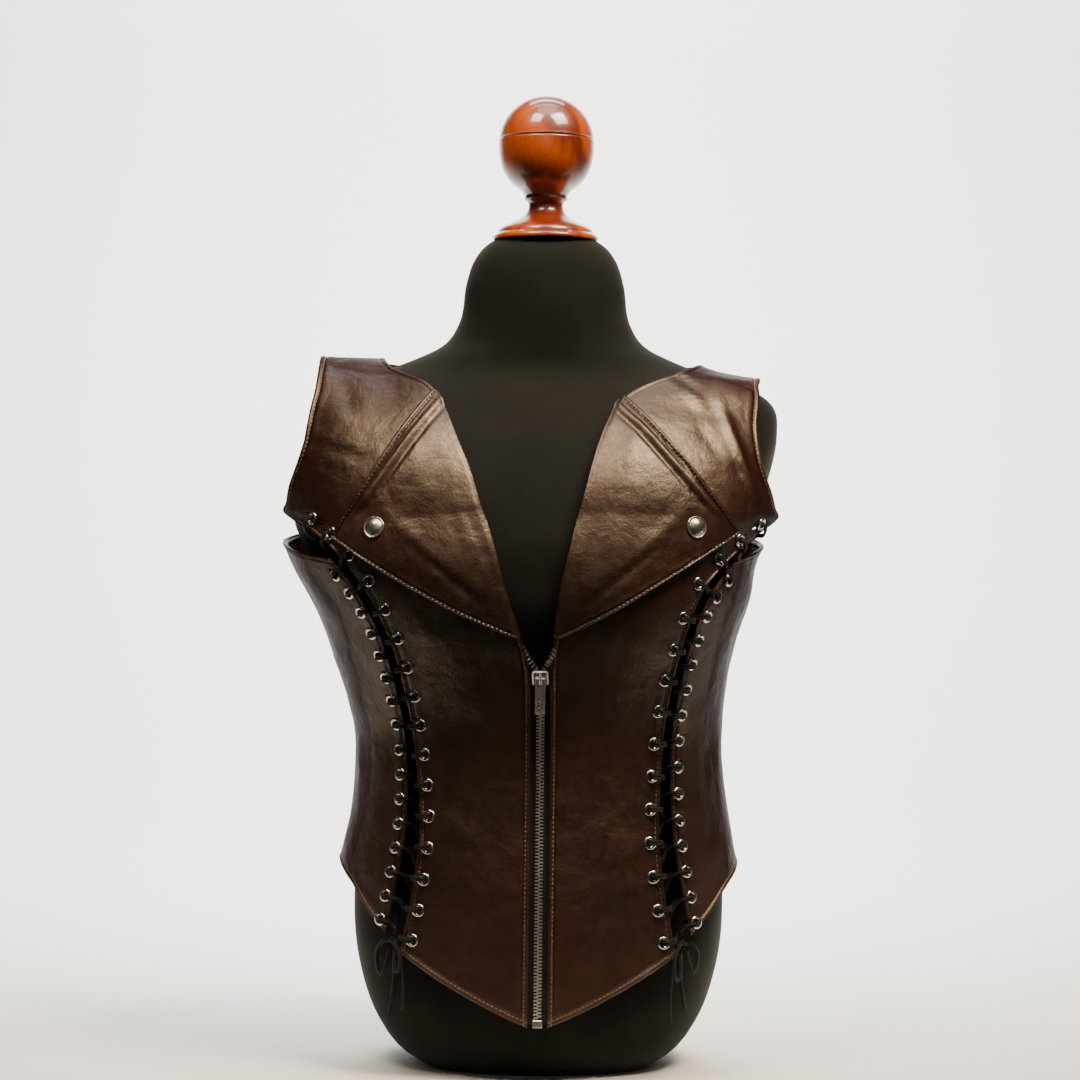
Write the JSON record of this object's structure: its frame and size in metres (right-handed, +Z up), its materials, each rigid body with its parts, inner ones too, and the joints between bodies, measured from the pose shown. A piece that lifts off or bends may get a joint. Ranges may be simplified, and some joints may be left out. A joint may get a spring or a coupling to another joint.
{
  "type": "corset vest on a limbless dress form",
  "caption": "Sleeveless brown leather corset vest with front zip, snapped pointed lapels and laced side seams, on a limbless dress form with a turned finial.",
  "frame": {"origin": "centre of the dress form's flat underside, on the surface it stands on", "axes": "+Z up along the form's upright axis, the vest's front faces -Y, +X to the wearer's left"},
  "size_m": [0.3628, 0.2451, 0.7142],
  "materials": {
    "leather": "smooth dark brown garment leather with a soft sheen",
    "lace": "flat black braided cord",
    "tape": "black woven zip tape",
    "eyelet_metal": "polished nickel plate",
    "snap_metal": "polished nickel plate",
    "zip_metal": "nickel plated brass teeth and slider",
    "jersey": "matt black knitted jersey stretched over the form",
    "varnished_wood": "orange-brown beech under thick gloss varnish"
  },
  "bodies": {
    "vest_and_form": {"front_panel_right": "leather", "front_panel_left": "leather", "side_panel_right": "leather", "side_panel_left": "leather", "back_panel": "leather", "lapel_right": "leather", "lapel_left": "leather", "lace_right": "lace", "lace_left": "lace", "bow_right": "lace", "bow_left": "lace", "lace_end_right_1": "lace", "lace_end_right_2": "lace", "lace_end_left_1": "lace", "lace_end_left_2": "lace", "eyelet_right_01": "eyelet_metal", "eyelet_right_02": "eyelet_metal", "eyelet_right_03": "eyelet_metal", "eyelet_right_04": "eyelet_metal", "eyelet_right_05": "eyelet_metal", "eyelet_right_06": "eyelet_metal", "eyelet_right_07": "eyelet_metal", "eyelet_right_08": "eyelet_metal", "eyelet_right_09": "eyelet_metal", "eyelet_right_10": "eyelet_metal", "eyelet_right_11": "eyelet_metal", "eyelet_right_12": "eyelet_metal", "eyelet_right_13": "eyelet_metal", "eyelet_right_14": "eyelet_metal", "eyelet_right_15": "eyelet_metal", "eyelet_right_16": "eyelet_metal", "eyelet_left_01": "eyelet_metal", "eyelet_left_02": "eyelet_metal", "eyelet_left_03": "eyelet_metal", "eyelet_left_04": "eyelet_metal", "eyelet_left_05": "eyelet_metal", "eyelet_left_06": "eyelet_metal", "eyelet_left_07": "eyelet_metal", "eyelet_left_08": "eyelet_metal", "eyelet_left_09": "eyelet_metal", "eyelet_left_10": "eyelet_metal", "eyelet_left_11": "eyelet_metal", "eyelet_left_12": "eyelet_metal", "eyelet_left_13": "eyelet_metal", "eyelet_left_14": "eyelet_metal", "eyelet_left_15": "eyelet_metal", "snap_right": "snap_metal", "snap_left": "snap_metal", "zip_chain": "zip_metal", "zip_slider": "zip_metal", "zip_box": "zip_metal", "zip_tape_right": "tape", "zip_tape_left": "tape", "form_torso": "jersey", "form_finial": "varnished_wood"},
    "pull_tab": {"zip_pull": "zip_metal"}
  },
  "joints": [
    {"name": "pull_tab_swing", "type": "hinge", "parent": "vest_and_form", "child": "pull_tab", "pos_m": [-0.00044, -0.11849, 0.28692], "axis": [-1, 0, 0], "range_deg": [-15, 150]}
  ]
}
